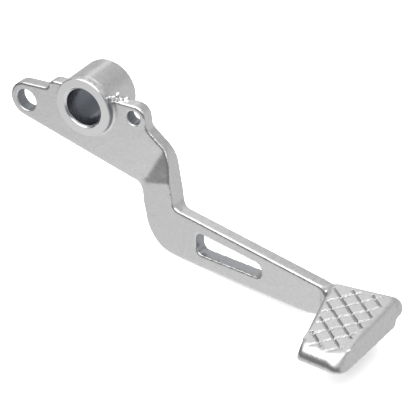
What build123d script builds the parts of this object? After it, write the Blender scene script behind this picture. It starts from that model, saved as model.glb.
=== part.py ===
from build123d import *
from math import acos, atan2, cos, hypot, radians, sin, sqrt, tan
import os

# Rear brake pedal, one casting of aluminium alloy, in millimetres.
# X runs forward along the lever, Y inboard along the pivot, Z up.
# The origin is on the pivot axis, in the outer face of the plate.

# Plate
plate_thickness = 6.2
edge_radius = 0.7

# Boss and pivot bore
bore_diameter = 17.0
bore_chamfer = 0.9
ring_diameter = 27.0
ring_height = 3.2
ring_chamfer = 0.4
barrel_diameter = 27.4
barrel_end = 18.8
barrel_chamfer = 0.5
barrel_fillet = 1.2

# Rear lug, where the brake rod's fork is pinned
rod_hole = (-32.2, -6.0)
rod_hole_diameter = 10.2
lug_radius = 8.5

# Front lobe, where the return spring hooks in
spring_hole = (23.5, -0.3)
spring_hole_diameter = 6.5
lobe_radius = 5.7
hole_chamfer = 0.35

# Arm: leans outboard from the plate, same thickness along Y
arm_angle = 11.0
arm_start = 21.4
arm_thickness = 6.1
arm_end = 146.0

# Sloping facet between the plate's outer face and the arm's
facet_point = (28.9, -29.0)
facet_lean = 29.0
facet_angle = 22.0
facet_crease_radius = 3.0

# Ramp from the plate's inner face down to the arm's
ramp_point = (43.8, -35.4)
ramp_lean = 20.0
ramp_angle = 42.0
ramp_crease_radius = 4.0

# Slot in the arm: corners as distance along the arm's outer face, and height
slot_corners = ((36.7, -42.9), (72.0, -44.2), (72.0, -51.1), (36.7, -54.0))
slot_radius = 3.1
slot_draft = 1.5

# Foot pad: its tread starts where it meets the arm's top outer edge
pad_corner = (124.2, -20.0, -39.95)
pad_rise = 5.15

# Tread in plan, measured from that corner: outboard, and forward at no distance outboard
pad_inner = -5.2
pad_tip = 38.0
pad_tip_skew = 9.6
tread_rear = 0.9
tread_rear_taper = 7.8
tread_front = 27.6
tread_front_taper = 6.5
pad_corner_radii = (2.0, 2.5, 5.0, 1.5)

# Walls of the foot pad, and how deep below the tread its plan is drawn
front_draft = 19.0
rear_draft = 15.0
inner_draft = 14.0
tip_draft = 5.0
nose_radius = 5.0
tread_edge_radius = 0.9
pad_depths = (0, 0.07, 0.26, 0.56, 0.9, 1.8, 2.9, 4.0, 5.0, 11.0)

# Underside of the foot pad, with a step up at its inner end
pad_depth = 8.85
pad_underside_slope = 3.6
step_end = 2.4
step_start = 0.7
step_depth = 6.9
end_depth = 3.8

# Crossed grooves of the tread
groove_pitch = 5.98
groove_width = 1.2
groove_depth = 0.6
groove_crossing = (12.1, 15.85)
groove_border = 2.6
groove_rear_border = 1.6


def side_slab(sketch, outboard, inboard):
    """A slab with this side outline, between two depths along Y."""
    slab = extrude(Plane.XZ * sketch, -(inboard - outboard))
    return Pos(0, outboard, 0) * slab


def tangent_point(centre, radius, corner):
    """Where a line from the corner touches the underside of a circle."""
    along = corner[0] - centre[0]
    up = corner[1] - centre[1]
    turn = atan2(up, along) - acos(radius / hypot(along, up))
    return (centre[0] + radius * cos(turn), centre[1] + radius * sin(turn))


def lever_outline():
    """Side outline of plate, neck and arm. All its walls run along Y."""
    heel = (25.5, -31.8)
    corners = [
        tangent_point(rod_hole, lug_radius, heel),
        heel,
        (30.9, -61.4),
        (114.5, -57.1),
        (131.0, -52.6),
        (arm_end, -46.5),
        (arm_end, -43.6),
        (125.4, -43.6),
        (125.4, -41.05),
        (44.9, -36.7),
        (41.3, -13.9),
        (29.6, -4.1),
        (29.3, 5.4),
        (0.0, 5.4),
        (-13.0, 7.2),
        (-19.0, 7.2),
        (-20.2, 2.9),
        (-32.2, 2.5),
        (-32.2, -6.0),
    ]
    web = make_face(Polyline(*corners, close=True))
    radii = [
        (heel, 5.0),
        ((30.9, -61.4), 14.0),
        ((114.5, -57.1), 25.0),
        ((131.0, -52.6), 25.0),
        ((44.9, -36.7), 3.5),
        ((41.3, -13.9), 14.0),
        ((29.6, -4.1), 4.5),
        ((29.3, 5.4), lobe_radius),
        ((-19.0, 7.2), 3.4),
        ((-20.2, 2.9), 1.6),
    ]
    for place, radius in radii:
        corner = web.vertices().sort_by_distance((*place, 0))[0]
        web = fillet(corner, radius)
    lug = Pos(*rod_hole) * Circle(lug_radius)
    ring = Circle(barrel_diameter / 2)
    return web + lug + ring


def sloping_face(place, lean, angle, depth):
    """Plane that leaves the depth y along a leaning line, turning outboard ahead of it."""
    x, z = place
    along = Vector(sin(radians(lean)), 0, cos(radians(lean)))
    ahead = Vector(cos(radians(lean)), 0, -sin(radians(lean)))
    down = ahead * cos(radians(angle)) - Vector(0, 1, 0) * sin(radians(angle))
    return Plane(origin=(x, depth, z), x_dir=along, z_dir=down.cross(along))


def inboard_of(solid, plane):
    keep = Keep.TOP if plane.z_dir.Y > 0 else Keep.BOTTOM
    return split(solid, bisect_by=plane, keep=keep)


def outboard_of(solid, plane):
    keep = Keep.BOTTOM if plane.z_dir.Y > 0 else Keep.TOP
    return split(solid, bisect_by=plane, keep=keep)


def lever_body():
    """Plate, neck and arm, with their creases and rims rounded."""
    arm_outer = sloping_face((arm_start, 0), 0, arm_angle, 0)
    arm_inner = sloping_face((arm_start, 0), 0, arm_angle, arm_thickness)
    facet = sloping_face(facet_point, facet_lean, facet_angle, 0)
    ramp = sloping_face(ramp_point, ramp_lean, ramp_angle, plate_thickness)
    plate_outer = Plane((0, 0, 0), x_dir=(1, 0, 0), z_dir=(0, 1, 0))

    outline = lever_outline()
    stock = side_slab(outline, -40, plate_thickness)
    backed = outboard_of(stock, arm_inner) + outboard_of(stock, ramp)
    plate = inboard_of(backed, plate_outer)
    arm = inboard_of(inboard_of(backed, arm_outer), facet)
    body = plate + arm

    creases = [
        ((32.3, 0, -23.0), facet_crease_radius),
        ((34.9, -2.6, -32.0), facet_crease_radius),
        ((40.0, 6.2, -46.0), ramp_crease_radius),
        ((44.6, 1.6, -48.7), ramp_crease_radius),
    ]
    for place, radius in creases:
        crease = body.edges().sort_by_distance(place)[0]
        body = fillet(crease, radius)
    return fillet(rims_on(body, outline), edge_radius)


def rims_on(body, outline):
    """Edges where the side wall of this outline turns into a face."""
    wall = side_slab(outline, -40, 40).faces().filter_by(Plane.XZ, reverse=True)
    rims = []
    for edge in body.edges():
        middle = edge.position_at(0.5)
        across = abs(edge.tangent_at(0.5).Y) > 0.95
        if not across and any(face.distance_to(middle) < 0.005 for face in wall):
            rims.append(edge)
    return rims


def bar(diameter, outboard, inboard):
    """Round bar on the pivot axis."""
    return side_slab(Circle(diameter / 2), outboard, inboard)


def boss(body, outline):
    """Barrel behind the plate and machined ring in front of it."""
    barrel = bar(barrel_diameter, plate_thickness - 1, barrel_end)
    barrel = chamfer(barrel.edges().sort_by(Axis.Y)[-1], barrel_chamfer)
    flare_end = plate_thickness + barrel_fillet
    flare = bar(barrel_diameter + 2 * barrel_fillet, plate_thickness, flare_end)
    hollow = Torus(barrel_diameter / 2 + barrel_fillet, barrel_fillet)
    flare = flare - Pos(0, flare_end, 0) * Rot(90, 0, 0) * hollow
    flare = flare & side_slab(outline, 0, barrel_end)
    ring = bar(ring_diameter, -ring_height, 1)
    ring = chamfer(ring.edges().sort_by(Axis.Y)[0], ring_chamfer)
    return body + barrel + flare + ring


def round_hole(diameter, outboard, inboard, lip):
    """Cutter for a round hole along Y with a chamfer at both faces."""
    hole = bar(diameter, outboard - 1, inboard + 1)
    flare = Cone(diameter / 2, diameter / 2 + 2 * lip, 2 * lip)
    outer_lip = Pos(0, outboard, 0) * Rot(90, 0, 0) * flare
    inner_lip = Pos(0, inboard, 0) * Rot(-90, 0, 0) * flare
    return hole + outer_lip + inner_lip


def plate_hole(centre, diameter):
    """Cutter for a chamfered hole through the plate."""
    x, z = centre
    return Pos(x, 0, z) * round_hole(diameter, 0, plate_thickness, hole_chamfer)


def slot():
    """Cutter for the slot, square to the arm and narrowing a little inboard."""
    turn = radians(arm_angle)
    face = Plane(
        origin=(arm_start, 0, 0),
        x_dir=(cos(turn), -sin(turn), 0),
        z_dir=(-sin(turn), -cos(turn), 0),
    )
    opening = make_face(Polyline(*slot_corners, close=True))
    opening = face * fillet(opening.vertices(), slot_radius)
    return extrude(opening, -9, taper=slot_draft) + extrude(opening, 3)


def rounding(radius, depth):
    """How far a rounded edge stands back from its wall, this deep below the tread."""
    rest = max(radius - depth, 0)
    return radius - sqrt(radius * radius - rest * rest)


def pad_ring(depth):
    """Plan of the foot pad at one depth, X outboard and Y forward."""
    rear = tan(radians(tread_rear_taper))
    front = -tan(radians(tread_front_taper))
    skew = tan(radians(pad_tip_skew))
    edge = rounding(tread_edge_radius, depth)
    inner = pad_inner - depth * tan(radians(inner_draft)) + edge
    tip = pad_tip + depth * tan(radians(tip_draft)) - rounding(nose_radius, depth)
    low = tread_rear - depth * tan(radians(rear_draft)) + edge
    high = tread_front + depth * tan(radians(front_draft)) - edge
    tip_rear = (tip + skew * low) / (1 - skew * rear)
    tip_front = (tip + skew * high) / (1 - skew * front)
    corners = [
        (inner, low + rear * inner),
        (tip_rear, low + rear * tip_rear),
        (tip_front, high + front * tip_front),
        (inner, high + front * inner),
    ]
    ring = make_face(Polyline(*corners, close=True))
    for place, radius in zip(corners, pad_corner_radii):
        corner = ring.vertices().sort_by_distance((*place, 0))[0]
        ring = fillet(corner, radius)
    return Pos(0, 0, -depth) * ring


def pad_block():
    """Foot pad without its grooves: X outboard, Y forward, Z off the tread."""
    block = loft([pad_ring(depth) for depth in pad_depths], ruled=True)
    slope = tan(radians(pad_underside_slope))
    side = Polyline(
        (60, 2),
        (60, -pad_depth + 60 * slope),
        (step_end, -pad_depth + step_end * slope),
        (step_start, -step_depth),
        (-10, -end_depth),
        (-10, 2),
        close=True,
    )
    kept = extrude(Rot(90, 0, 0) * make_face(side), 60, both=True)
    return block & kept


def grooves():
    """Crossed V grooves, ending inside the tread's border."""
    rear = tan(radians(tread_rear_taper))
    front = -tan(radians(tread_front_taper))
    low = tread_rear + groove_rear_border
    high = tread_front - groove_border
    start = pad_inner + groove_border
    field = Polyline(
        (start, low + rear * start),
        (pad_tip, low + rear * pad_tip),
        (pad_tip, high + front * pad_tip),
        (start, high + front * start),
        close=True,
    )
    half = groove_width / 2
    section = make_face(Polyline((-half, 0.01), (half, 0.01), (0, -groove_depth), close=True))
    groove = extrude(Plane.XZ * section, 40, both=True)
    cut = Part()
    for turn in (45, -45):
        for number in range(-2, 4):
            cut += Rot(0, 0, turn) * Pos(number * groove_pitch, 0, 0) * groove
    cut = Pos(*groove_crossing, 0) * cut
    return cut & extrude(make_face(field), 2, both=True)


outline = lever_outline()
lever = boss(lever_body(), outline) - slot()
lever -= round_hole(bore_diameter, -ring_height, barrel_end, bore_chamfer)
lever -= plate_hole(rod_hole, rod_hole_diameter)
lever -= plate_hole(spring_hole, spring_hole_diameter)

rise = radians(pad_rise)
tread = Plane(origin=pad_corner, x_dir=(0, -1, 0), z_dir=(-sin(rise), 0, cos(rise)))
brake_pedal = lever + tread * (pad_block() - grooves())

os.makedirs("parts", exist_ok=True)
export_step(brake_pedal, "parts/brake_pedal.step")
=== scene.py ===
import bpy
import math
from mathutils import Matrix, Vector


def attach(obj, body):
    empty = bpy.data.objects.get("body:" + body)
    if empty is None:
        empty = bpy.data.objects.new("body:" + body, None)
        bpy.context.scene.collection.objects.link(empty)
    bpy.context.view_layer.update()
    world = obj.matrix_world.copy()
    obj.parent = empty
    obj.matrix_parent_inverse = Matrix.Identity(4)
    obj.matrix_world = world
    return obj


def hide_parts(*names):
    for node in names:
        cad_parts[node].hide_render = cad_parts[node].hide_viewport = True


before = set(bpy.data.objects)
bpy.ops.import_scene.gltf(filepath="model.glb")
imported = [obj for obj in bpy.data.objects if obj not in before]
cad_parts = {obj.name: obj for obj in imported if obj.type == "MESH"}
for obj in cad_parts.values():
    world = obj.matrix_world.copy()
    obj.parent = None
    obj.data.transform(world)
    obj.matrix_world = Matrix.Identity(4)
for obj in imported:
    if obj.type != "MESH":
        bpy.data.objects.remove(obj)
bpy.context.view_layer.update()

# A cast aluminium brake pedal on a plain white table.
# All in metres, in the frame of the solids: X forward, Y inboard and Z up from the pivot.


# one wrapped socket: expressions on it add Math nodes
class Wire:
    def __init__(self, tree, socket):
        self.tree = tree
        self.socket = socket

    def maths(self, operation, first, second):
        node = self.tree.nodes.new("ShaderNodeMath")
        node.operation = operation
        plug(self.tree, first, node.inputs[0])
        plug(self.tree, second, node.inputs[1])
        return Wire(self.tree, node.outputs[0])

    def __add__(self, other):
        return self.maths("ADD", self, other)

    __radd__ = __add__

    def __sub__(self, other):
        return self.maths("SUBTRACT", self, other)

    def __rsub__(self, other):
        return self.maths("SUBTRACT", other, self)

    def __mul__(self, other):
        return self.maths("MULTIPLY", self, other)

    __rmul__ = __mul__

    def __pow__(self, other):
        return self.maths("POWER", self, other)


def plug(tree, value, socket):
    if isinstance(value, Wire):
        tree.links.new(value.socket, socket)
    else:
        socket.default_value = value


# the nodes of a material or a world, with one method that adds any node
class Recipe:
    def __init__(self, owner):
        owner.use_nodes = True
        self.owner = owner
        self.tree = owner.node_tree
        self.tree.nodes.clear()

    def node(self, kind, settings=None, values=None, out=0):
        made = self.tree.nodes.new(kind)
        for name, value in (settings or {}).items():
            setattr(made, name, value)
        for name, value in (values or {}).items():
            plug(self.tree, value, made.inputs[name])
        return Wire(self.tree, made.outputs[out]) if made.outputs else None

    # 0 at start, 1 at end, smooth between
    def ramp(self, value, start, end):
        return self.node("ShaderNodeMapRange", {"interpolation_type": "SMOOTHSTEP"}, {
            "Value": value, "From Min": start, "From Max": end})

    # up over the first pair of values and down again over the second
    def band(self, value, rise, fall):
        return self.ramp(value, *rise) * (1 - self.ramp(value, *fall))

    # a colour between two others
    def blend(self, share, first, second):
        first, second = [
            (*colour, 1.0) if isinstance(colour, tuple) else colour for colour in (first, second)]
        return self.node("ShaderNodeMix", {"data_type": "RGBA"}, {0: share, 6: first, 7: second}, out=2)

    def split(self, vector):
        first = self.node("ShaderNodeSeparateXYZ", values={"Vector": vector})
        return [Wire(self.tree, output) for output in first.socket.node.outputs]


# a number or wire this share of the way from first to second
def between(share, first, second):
    return share * (second - first) + first


# Pairs are where a mask starts and where it is full.
skinSettings = {
    "pale": (0.72, 0.72, 0.72),
    "dull": (0.66, 0.66, 0.665),
    "machined": (0.71, 0.71, 0.715),
    "bore": (0.175, 0.185, 0.210),         # painted shade: the dark grey of the bore wall
    # painted shade of the slot and of the corners
    "recessShade": (0.40, 0.41, 0.43),
    # painted shade of the small holes and of the ring's wall
    "holeAndRingShade": (0.30, 0.315, 0.34),
    "rubbedShare": 0.7,
    # share of painted shade in the corners
    "hollowShadeShare": 0.35,
    # share of painted shade on one side of the ring's wall
    "ringWallShadeShare": 0.85,

    "grain": (1500, 2.0, 0.6),             # scale, detail and roughness: blasted grain of about 0.7 mm
    "mottle": (620, 4.0, 0.6),
    "wave": (150, 1.0, 0.5),               # uneven cast skin, 7 mm across
    "pitScale": 825,
    "patches": (0.35, 0.68),               # levels of the mottle, from dull to pale
    "pitHeight": 0.5,
    "mottleHeight": 1.2,
    "waveHeight": 3,
    "rubbedHeight": 2,
    "ringFlatness": 0.85,
    "bumpDistance": 0.000035,

    "roughness": (0.25, 0.35),
    "grainShare": 0.6,                     # of the grain in the roughness, the rest is mottle
    "rubbedPolish": 0.25,
    "machinedRoughness": 0.22,
    "rimRoughness": 0.58,                  # worn rims of the plate, neck and arm

    "rubbedBend": (0.51, 0.58),            # pointiness, over 0.5 on outer edges and under it in corners
    "rubbedBreakup": 0.04,
    "hollowBend": (0.40, 0.49),
    "rimBend": (0.53, 0.60),
    "rimEnd": (0.117, 0.122),              # the foot pad's own edges stay smooth

    "boreRadius": (0.00855, 0.00875),
    "ringRadius": (0.0140, 0.0150),
    "ringDepth": (-0.0028, -0.0024),
    "ringWallRadius": (0.01365, 0.0140),
    "ringWallDepth": ((-0.0029, -0.0026), (-0.0003, 0.0)),
    "ringShade": (0.94, -0.34),            # painted shade on the ring's wall on this side: direction in X and Z
    "ringShadeReach": (0.006, 0.011),
    "plateDepth": ((0.0003, 0.0008), (0.0054, 0.0060)),
    "holes": ((-0.0322, -0.0060, 0.0051), (0.0235, -0.0003, 0.00325)),     # X, Z and radius
    "holeEdge": (0.00015, 0.0004),
    "armStart": 0.0214,
    "armLean": 11,
    "slotAlong": ((0.0355, 0.0358), (0.0735, 0.0738)),
    "slotHeight": ((-0.0550, -0.0547), (-0.0420, -0.0417)),
    "slotDepth": (0.0004, 0.0012),
}


def castMaterial():
    cast = Recipe(bpy.data.materials.new("castAluminium"))
    place = cast.node("ShaderNodeTexCoord", out=3)
    x, y, z = cast.split(place)
    grain, mottle, wave = [
        cast.node("ShaderNodeTexNoise", values={
            "Vector": place, "Scale": scale, "Detail": detail, "Roughness": roughness})
        for scale, detail, roughness in [skinSettings[name] for name in ("grain", "mottle", "wave")]]
    pits = cast.node("ShaderNodeTexVoronoi", {"feature": "F1"}, {
        "Vector": place, "Scale": skinSettings["pitScale"]})

    # the bore, the ring's face and the ring's wall in front of the plate; the bore and one side of the ring's
    # wall get painted shade
    radius = (x * x + z * z) ** 0.5
    inBore = 1 - cast.ramp(radius, *skinSettings["boreRadius"])
    onRing = (1 - cast.ramp(y, *skinSettings["ringDepth"])) * (1 - cast.ramp(radius, *skinSettings["ringRadius"]))
    shadeX, shadeZ = skinSettings["ringShade"]
    ringWallShade = (
        cast.band(y, *skinSettings["ringWallDepth"])
        * (1 - cast.ramp(radius, *skinSettings["ringWallRadius"])) * (1 - inBore)
        * cast.ramp(x * shadeX + z * shadeZ, *skinSettings["ringShadeReach"]))

    # painted shade inside the slot, by distance along the leaning arm and depth into it
    lean = math.radians(skinSettings["armLean"])
    ahead = x - skinSettings["armStart"]
    along = ahead * math.cos(lean) - y * math.sin(lean)
    depth = ahead * math.sin(lean) + y * math.cos(lean)
    inSlot = (
        cast.band(along, *skinSettings["slotAlong"]) * cast.band(z, *skinSettings["slotHeight"])
        * cast.ramp(depth, *skinSettings["slotDepth"]))

    # painted shade inside the two small holes
    inHole = 0.0
    for holeX, holeZ, holeRadius in skinSettings["holes"]:
        away = ((x - holeX) ** 2.0 + (z - holeZ) ** 2.0) ** 0.5
        inHole = 1 - cast.ramp(away, *[holeRadius + edge for edge in skinSettings["holeEdge"]]) + inHole
    inHole = inHole * cast.band(y, *skinSettings["plateDepth"])

    # edges rubbed bright, corners darkened with painted shade, rims worn
    bend = cast.node("ShaderNodeNewGeometry", out=7)
    rubbed = cast.ramp(bend + (grain - 0.5) * skinSettings["rubbedBreakup"], *skinSettings["rubbedBend"])
    hollowShade = 1 - cast.ramp(bend, *skinSettings["hollowBend"])
    rim = (
        cast.ramp(bend, *skinSettings["rimBend"]) * (1 - cast.ramp(x, *skinSettings["rimEnd"]))
        * (1 - inBore) * (1 - onRing))

    patchy = cast.ramp(mottle, *skinSettings["patches"])
    base = cast.blend(patchy, skinSettings["dull"], skinSettings["pale"])
    # painted shade goes into the corners, slot, holes, one side of the ring's wall and the bore
    for share, colour in (
            (rubbed * skinSettings["rubbedShare"], "machined"),
            (hollowShade * skinSettings["hollowShadeShare"], "recessShade"),
            (onRing, "machined"),
            (inSlot, "recessShade"),
            (inHole, "holeAndRingShade"),
            (ringWallShade * skinSettings["ringWallShadeShare"], "holeAndRingShade"),
            (inBore, "bore")):
        base = cast.blend(share, base, skinSettings[colour])

    grainShare = skinSettings["grainShare"]
    rough = between(grain * grainShare + patchy * (1 - grainShare), *skinSettings["roughness"])
    rough = rough * (1 - rubbed * skinSettings["rubbedPolish"])
    rough = between(rim, rough, skinSettings["rimRoughness"])
    rough = between(onRing, rough, skinSettings["machinedRoughness"])

    height = (
        grain + pits * skinSettings["pitHeight"] + mottle * skinSettings["mottleHeight"]
        + wave * skinSettings["waveHeight"] + rubbed * mottle * skinSettings["rubbedHeight"])
    bump = cast.node("ShaderNodeBump", values={
        "Height": height * (1 - onRing * skinSettings["ringFlatness"]),
        "Strength": 1.0,
        "Distance": skinSettings["bumpDistance"]})
    shader = cast.node("ShaderNodeBsdfPrincipled", values={
        "Base Color": base, "Metallic": 1.0, "Roughness": rough, "Normal": bump})
    cast.node("ShaderNodeOutputMaterial", values={"Surface": shader})
    return cast.owner


# only this piece selected, and active
def pick(piece):
    bpy.ops.object.select_all(action="DESELECT")
    piece.select_set(True)
    bpy.context.view_layer.objects.active = piece


def finishModifier(piece, kind, settings):
    modifier = piece.modifiers.new("work", kind)
    for name, value in settings.items():
        setattr(modifier, name, value)
    pick(piece)
    bpy.ops.object.modifier_apply(modifier=modifier.name)


# a new primitive with its place, turn and scale put into its mesh
def solid(primitive, **settings):
    bpy.ops.object.select_all(action="DESELECT")
    primitive(**settings)
    bpy.ops.object.transform_apply(location=True, rotation=True, scale=True)
    return bpy.context.object


# a closed block with these axes, for joining to the casting or cutting it
def block(centre, size, along=(1, 0, 0), up=(0, 0, 1)):
    first = Vector(along).normalized()
    third = (Vector(up) - first * Vector(up).dot(first)).normalized()
    turn = Matrix((first, third.cross(first), third)).transposed().to_euler()
    return solid(bpy.ops.mesh.primitive_cube_add, size=1, location=centre, rotation=turn, scale=size)


# a round bar along Y between two depths, with a radius for each end
def roundBar(x, z, start, end, startRadius, endRadius, sides=96):
    return solid(
        bpy.ops.mesh.primitive_cone_add, vertices=sides, radius1=endRadius, radius2=startRadius,
        depth=end - start, location=(x, (start + end) / 2, z), rotation=(math.radians(90), 0, 0))


def joined(pieces):
    pick(pieces[0])
    for piece in pieces:
        piece.select_set(True)
    bpy.ops.object.join()
    return bpy.context.object


# joins tools to the piece or cuts it with them, and removes them
def carve(piece, tools, operation):
    for tool in tools:
        finishModifier(piece, "BOOLEAN", {
            "operation": operation, "solver": "MANIFOLD", "object": tool})
        bpy.data.objects.remove(tool)


# smooths the mesh near a line, fading out with the distance from it
def soften(piece, start, end, reach, rounds):
    run = end - start
    group = piece.vertex_groups.new(name="soft")
    for vertex in piece.data.vertices:
        share = (vertex.co - start).dot(run) / run.length_squared
        near = start + run * min(max(share, 0), 1)
        weight = 1 - (vertex.co - near).length / reach
        if weight > 0:
            group.add([vertex.index], min(weight * 2, 1), "REPLACE")
    finishModifier(piece, "SMOOTH", {"factor": 0.5, "iterations": rounds, "vertex_group": "soft"})
    piece.vertex_groups.clear()


print("stage: casting")

castingSettings = {
    "voxels": (0.00036, 0.00046),          # before and after the large forms are joined
    "smoothing": 3,
    "tread": {
        "corner": (0.1242, -0.0200, -0.03995),     # where it meets the arm's upper outer edge
        "rise": 5.15,
        "fill": ((0.0150, 0.0148, -0.0006), (0.0362, 0.0196, 0.0012)),
        "grooves": (-2, 4),                # numbers of the first groove and the one after the last
        "pitch": 0.00598,
        "width": 0.00110,
        "shortest": 0.001,
        "longest": 0.060,                  # each way from a groove's middle
        "crossing": (0.0121, 0.01585),
        # each edge of the grooved field: direction across it, and how far out it lies
        "border": (
            ((-1, 0), 0.0026), ((0.136, -0.991), -0.00247), ((0.113, 0.994), 0.02484), ((1, 0.17), 0.0372)),
    },
    # where the tread meets the arm
    "corner": {
        "centre": (0.1240, -0.0199, -0.0458), "size": (0.0034, 0.0034, 0.0104),
        "along": (1, 1, 0), "up": (-0.24, 0, 1)},
    # the pad's inner end is a ball that tapers back into the arm; its ball is placed from the tread's corner
    "padEnd": {
        "ball": (-0.0034, 0.0257, -0.0046),
        "radius": 0.0045,
        "back": (0.1355, -0.0192, -0.0448),
        "backRadius": 0.0030,
        "inset": 0.00003,
    },
    # rough remains of the gate, where the barrel, ring and plate meet: place and radius
    "gate": (
        ((0.0140, 0.0004, 0.0070), 0.0012),
        ((0.0144, 0.0032, 0.0072), 0.0014),
        ((0.0166, 0.0020, 0.0059), 0.0011),
        ((0.0182, 0.0040, 0.0058), 0.0012),
        ((0.0128, -0.0010, 0.0074), 0.0009),
        ((-0.0186, 0.0004, 0.0056), 0.0007),
    ),
    "holes": {
        "bore": {"centre": (0.0, 0.0), "radius": 0.0085, "start": -0.0032, "end": 0.0188, "lip": 0.0009},
        "rodPin": {"centre": (-0.0322, -0.0060), "radius": 0.0051, "start": 0.0, "end": 0.0062, "lip": 0.0003},
        "spring": {"centre": (0.0235, -0.0003), "radius": 0.00325, "start": 0.0, "end": 0.0062, "lip": 0.0003},
    },
    "holeSides": 128,
    "plugOversize": 0.0005,
    "cutOverrun": 0.001,                   # how far a hole's cutter stands out at each end
    "lipOverrun": 0.0001,
    # the neck is a little flatter than the arm towards its rear edge
    "neck": {
        "place": (0.0263, 0.00045, -0.0370),
        "slope": (-0.2676, -0.0133),       # of its outer face, in X and Z
        "cutter": (0.040, 0.050, 0.020),
        "ahead": 0.004,
        "below": 0.010,
        "plateFace": -0.00002,             # the cut stops here, clear of the plate
    },
    "ring": {
        "radius": 0.0135, "face": -0.0032, "chamfer": 0.0003, "root": 0.0010, "overlap": 0.00001, "sides": 160},
    # narrow flat along the arm's upper outer rim, which catches the light
    "rim": {
        "start": (0.0480, -0.00517, -0.03687),
        "end": (0.1212, -0.01939, -0.04082),
        "normal": (-0.137, -0.982, 0.9985),
        "cut": 0.00034,
        "cutter": (0.0010, 0.002),
    },
    # wide cast fillets: where they run, how far they reach and how many rounds of smoothing they get
    "fillets": {
        "armToPadWall": {
            "from": "pivot", "start": (0.1246, -0.0205, -0.0415), "end": (0.1228, -0.0200, -0.0510),
            "reach": 0.0050, "rounds": 40},
        "armTopToTread": {
            "from": "pivot", "start": (0.1245, -0.0140, -0.0405), "end": (0.1250, -0.0190, -0.0402),
            "reach": 0.0035, "rounds": 12},
        "padTipFoot": {
            "from": "tread", "start": (0.0387, 0.0, -0.0062), "end": (0.0425, 0.0235, -0.0060),
            "reach": 0.0026, "rounds": 25},
        "padFrontFoot": {
            "from": "tread", "start": (0.0420, 0.0252, -0.0060), "end": (-0.0020, 0.0307, -0.0086),
            "reach": 0.0026, "rounds": 25},
        "padCorner": {
            "from": "tread", "start": (-0.0060, 0.0290, -0.0010), "end": (-0.0080, 0.0310, -0.0060),
            "reach": 0.0050, "rounds": 20},
        "padEndTaper": {
            "from": "pivot", "start": (0.1360, -0.0150, -0.0450), "end": (0.1450, -0.0150, -0.0450),
            "reach": 0.0060, "rounds": 40},
        "neckRear": {
            "from": "pivot", "start": (0.0258, -0.0003, -0.0350), "end": (0.0285, -0.0010, -0.0335),
            "reach": 0.0060, "rounds": 60},
    },
}

tread = castingSettings["tread"]
rise = math.radians(tread["rise"])
treadOut = Vector((0, -1, 0))
treadUp = Vector((-math.sin(rise), 0, math.cos(rise)))
treadAhead = treadUp.cross(treadOut)


# a place measured outboard, forward and up from the tread's corner
def onTread(out, ahead, up=0.0):
    return Vector(tread["corner"]) + treadOut * out + treadAhead * ahead + treadUp * up


pick(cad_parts["brake_pedal"])
bpy.ops.object.duplicate()
casting = bpy.context.object
casting.name = "pedalCasting"
pick(casting)
bpy.ops.object.mode_set(mode="EDIT")
bpy.ops.mesh.select_all(action="SELECT")
bpy.ops.mesh.remove_doubles(threshold=1e-6)
bpy.ops.object.mode_set(mode="OBJECT")
firstVoxel, lastVoxel = castingSettings["voxels"]
finishModifier(casting, "REMESH", {"mode": "VOXEL", "voxel_size": firstVoxel})

print("stage: large forms")
fillCentre, fillSize = tread["fill"]
corner = castingSettings["corner"]
fillers = [
    block(onTread(*fillCentre), fillSize, treadOut, treadUp),
    block(corner["centre"], corner["size"], corner["along"], corner["up"]),
]

padEnd = castingSettings["padEnd"]
ballCentre = onTread(*padEnd["ball"])
padRun = ballCentre - Vector(padEnd["back"])
fillers.append(solid(
    bpy.ops.mesh.primitive_uv_sphere_add, segments=48, ring_count=24,
    radius=padEnd["radius"], location=ballCentre))
fillers.append(solid(
    bpy.ops.mesh.primitive_cone_add, vertices=48,
    radius1=padEnd["backRadius"], radius2=padEnd["radius"] - padEnd["inset"],
    depth=padRun.length, location=Vector(padEnd["back"]) + padRun / 2,
    rotation=padRun.to_track_quat("Z", "Y").to_euler()))

# the holes are stopped up, to be cut clean after the softening
for hole in castingSettings["holes"].values():
    plugRadius = hole["radius"] + hole["lip"] + castingSettings["plugOversize"]
    fillers.append(roundBar(*hole["centre"], hole["start"], hole["end"], plugRadius, plugRadius))
for place, radius in castingSettings["gate"]:
    fillers.append(solid(
        bpy.ops.mesh.primitive_ico_sphere_add, subdivisions=2, radius=radius, location=place))
carve(casting, fillers, "UNION")

neck = castingSettings["neck"]
slopeX, slopeZ = neck["slope"]
neckNormal = Vector((slopeX, -1, slopeZ)).normalized()
neckAlong = Vector((1, slopeX, 0)).normalized()
neckDown = neckAlong.cross(neckNormal)
neckCutter = block(
    Vector(neck["place"]) + neckNormal * (neck["cutter"][2] / 2) + neckAlong * neck["ahead"]
    + neckDown * neck["below"], neck["cutter"], neckAlong, neckNormal)
bpy.ops.object.mode_set(mode="EDIT")
bpy.ops.mesh.select_all(action="SELECT")
bpy.ops.mesh.bisect(
    plane_co=(0, neck["plateFace"], 0), plane_no=(0, 1, 0), use_fill=True, clear_outer=True)
bpy.ops.object.mode_set(mode="OBJECT")
carve(casting, [neckCutter], "DIFFERENCE")

print("stage: cast fillets")
finishModifier(casting, "REMESH", {"mode": "VOXEL", "voxel_size": lastVoxel, "use_smooth_shade": True})
finishModifier(casting, "SMOOTH", {"factor": 0.5, "iterations": castingSettings["smoothing"]})
for fillet in castingSettings["fillets"].values():
    start, end = [
        onTread(*fillet[name]) if fillet["from"] == "tread" else Vector(fillet[name])
        for name in ("start", "end")]
    soften(casting, start, end, fillet["reach"], fillet["rounds"])

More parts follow.
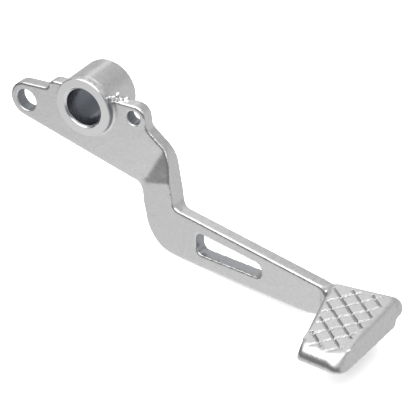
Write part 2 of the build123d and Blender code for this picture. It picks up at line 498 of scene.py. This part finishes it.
print("stage: ring, holes and rim")
ring = castingSettings["ring"]
chamferEnd = ring["face"] + ring["chamfer"]
ringRadius, faceRadius = ring["radius"], ring["radius"] - ring["chamfer"]
carve(casting, [
    roundBar(0, 0, chamferEnd, ring["root"], ringRadius, ringRadius, ring["sides"]),
    roundBar(0, 0, ring["face"], chamferEnd + ring["overlap"], faceRadius, ringRadius, ring["sides"]),
], "UNION")
overrun, lipOverrun = castingSettings["cutOverrun"], castingSettings["lipOverrun"]
for hole in castingSettings["holes"].values():
    centre, radius, lip, start, end = [hole[name] for name in ("centre", "radius", "lip", "start", "end")]
    wide = radius + lip + lipOverrun
    carve(casting, [
        roundBar(*centre, start - overrun, end + overrun, radius, radius, castingSettings["holeSides"]),
        roundBar(*centre, start - lipOverrun, start + lip, wide, radius, castingSettings["holeSides"]),
        roundBar(*centre, end - lip, end + lipOverrun, radius, wide, castingSettings["holeSides"]),
    ], "DIFFERENCE")

rim = castingSettings["rim"]
rimStart, rimEnd = Vector(rim["start"]), Vector(rim["end"])
rimNormal = Vector(rim["normal"]).normalized()
rimWidth, rimHeight = rim["cutter"]
rimCutter = block(
    (rimStart + rimEnd) / 2 + rimNormal * (rimHeight / 2 - rim["cut"]),
    ((rimEnd - rimStart).length, rimWidth, rimHeight), rimEnd - rimStart, rimNormal)
carve(casting, [rimCutter], "DIFFERENCE")


# how far a groove runs each way from its middle inside the tread's border
def grooveReach(middle, along):
    ends = [-tread["longest"], tread["longest"]]
    for across, distance in tread["border"]:
        slope = across[0] * along[0] + across[1] * along[1]
        room = distance - across[0] * middle[0] - across[1] * middle[1]
        if slope > 0:
            ends[1] = min(ends[1], room / slope)
        elif slope < 0:
            ends[0] = max(ends[0], room / slope)
    return ends


# a square bar on its edge, for one V groove
def grooveBar(number, turn):
    side = (math.cos(math.radians(turn)), math.sin(math.radians(turn)))
    along = (-side[1], side[0])
    middle = [tread["crossing"][axis] + side[axis] * number * tread["pitch"] for axis in (0, 1)]
    start, end = grooveReach(middle, along)
    if end - start < tread["shortest"]:
        return None
    reach = (start + end) / 2
    sideways = treadOut * side[0] + treadAhead * side[1]
    thick = tread["width"] / math.sqrt(2)
    return block(
        onTread(middle[0] + along[0] * reach, middle[1] + along[1] * reach),
        (thick, end - start, thick), sideways + treadUp, treadUp - sideways)


print("stage: grooves")
for turn in (45, -45):
    bars = [grooveBar(number, turn) for number in range(*tread["grooves"])]
    carve(casting, [joined([bar for bar in bars if bar])], "DIFFERENCE")
print("stage: casting has", sum(len(face.vertices) - 2 for face in casting.data.polygons), "triangles")

casting.data.materials.clear()
casting.data.materials.append(castMaterial())
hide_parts("brake_pedal")
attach(casting, "root")

print("stage: floor")

floorSettings = {
    "height": -0.0612,
    "size": 6.0,
    "colour": (0.80, 0.80, 0.80),
    "seenColour": (1.8, 1.8, 1.8),         # for camera rays only: bright enough to be white
}


def floorMaterial():
    table = Recipe(bpy.data.materials.new("paleTable"))
    seen = table.node("ShaderNodeLightPath", out=0)
    plain, white = [
        table.node("ShaderNodeBsdfDiffuse", values={"Color": (*floorSettings[name], 1.0)})
        for name in ("colour", "seenColour")]
    mixed = table.node("ShaderNodeMixShader", values={0: seen, 1: plain, 2: white})
    table.node("ShaderNodeOutputMaterial", values={"Surface": mixed})
    return table.owner


bpy.ops.object.select_all(action="DESELECT")
bpy.ops.mesh.primitive_plane_add(size=floorSettings["size"], location=(0, 0, floorSettings["height"]))
floor = bpy.context.object
floor.name = "floor"
floor.data.materials.append(floorMaterial())
floor.visible_glossy = False               # the metal sees the studio's own table instead

print("stage: studio")

# How bright each part of the studio looks in the metal, and where it lies.
# Directions are unit vectors from the pedal, so heights are sines of the elevation.
studioSettings = {
    "table": (1.30, 1.06),                 # in front, and on the left
    "tableLeft": (-0.40, -0.62),
    "tableEdge": (-0.50, -0.25),
    "dark": 0.25,                          # the unlit room in front and to the left
    "ceiling": 1.00,
    "ceilingEdge": (0.30, 0.60),
    "backdropLow": (0.89, 0.76),           # behind, and behind on the left
    "backdropLowLeft": (-0.33, -0.50),
    "backdropHigh": (0.68, 1.36),          # either side of a brighter band, and in it
    "backdropBand": ((-0.30, -0.37), (-0.46, -0.54)),
    "backdropHeight": (0.18, 0.42),
    "backdropSide": (0.50, 0.87),          # direction of the backdrop in X and Y
    "backdropEdge": (-0.30, 0.15),
    "overhead": 1.75,                      # a soft patch straight above
    "overheadEdge": (0.76, 0.88),
}


def studioWorld():
    studio = Recipe(bpy.data.worlds.new("studio"))
    look = studio.node("ShaderNodeTexCoord", out=0)
    x, y, z = studio.split(look)

    underCeiling = 1 - studio.ramp(z, *studioSettings["ceilingEdge"])
    room = between(underCeiling, studioSettings["ceiling"], studioSettings["dark"])
    table = between(studio.ramp(x, *studioSettings["tableLeft"]), *studioSettings["table"])
    front = between(studio.ramp(z, *studioSettings["tableEdge"]), table, room)

    band = studio.band(x, *studioSettings["backdropBand"])
    upper = between(band, *studioSettings["backdropHigh"])
    lower = between(studio.ramp(x, *studioSettings["backdropLowLeft"]), *studioSettings["backdropLow"])
    backdrop = between(studio.ramp(z, *studioSettings["backdropHeight"]), lower, upper)

    sideX, sideY = studioSettings["backdropSide"]
    inFront = 1 - studio.ramp(x * sideX + y * sideY, *studioSettings["backdropEdge"])
    sides = between(inFront, backdrop, front)
    lit = between(studio.ramp(z, *studioSettings["overheadEdge"]), sides, studioSettings["overhead"])
    seen = studio.node("ShaderNodeLightPath", out=0)      # the camera sees plain white
    light = studio.node("ShaderNodeBackground", values={"Strength": between(seen, lit, 1)})
    studio.node("ShaderNodeOutputWorld", values={"Surface": light})
    return studio.owner


bpy.context.scene.world = studioWorld()

lampSettings = {
    "place": (-0.024, -0.262, 0.614),
    "aim": (0.06, -0.01, -0.03),
    "size": 0.95,
    "power": 4.0,
}
bpy.ops.object.light_add(type="AREA", location=lampSettings["place"])
lamp = bpy.context.object
lamp.name = "topLamp"
lamp.data.size = lampSettings["size"]
lamp.data.energy = lampSettings["power"]
lampRun = Vector(lampSettings["aim"]) - lamp.location
lamp.rotation_euler = lampRun.to_track_quat("-Z", "Y").to_euler()

print("stage: camera")

cameraSettings = {
    "place": (0.27437, -0.38870, 0.25661),
    "azimuth": 28.93,
    "elevation": 33.20,
    "lens": 108.17,
    "sensor": 36.0,
    "clipStart": 0.01,
}
bpy.ops.object.camera_add(location=cameraSettings["place"])
camera = bpy.context.object
camera.rotation_euler = (
    math.radians(90 - cameraSettings["elevation"]), 0, math.radians(cameraSettings["azimuth"]))
camera.data.lens = cameraSettings["lens"]
camera.data.sensor_width = cameraSettings["sensor"]
camera.data.clip_start = cameraSettings["clipStart"]
bpy.context.scene.camera = camera
bpy.context.scene.view_settings.view_transform = "Standard"
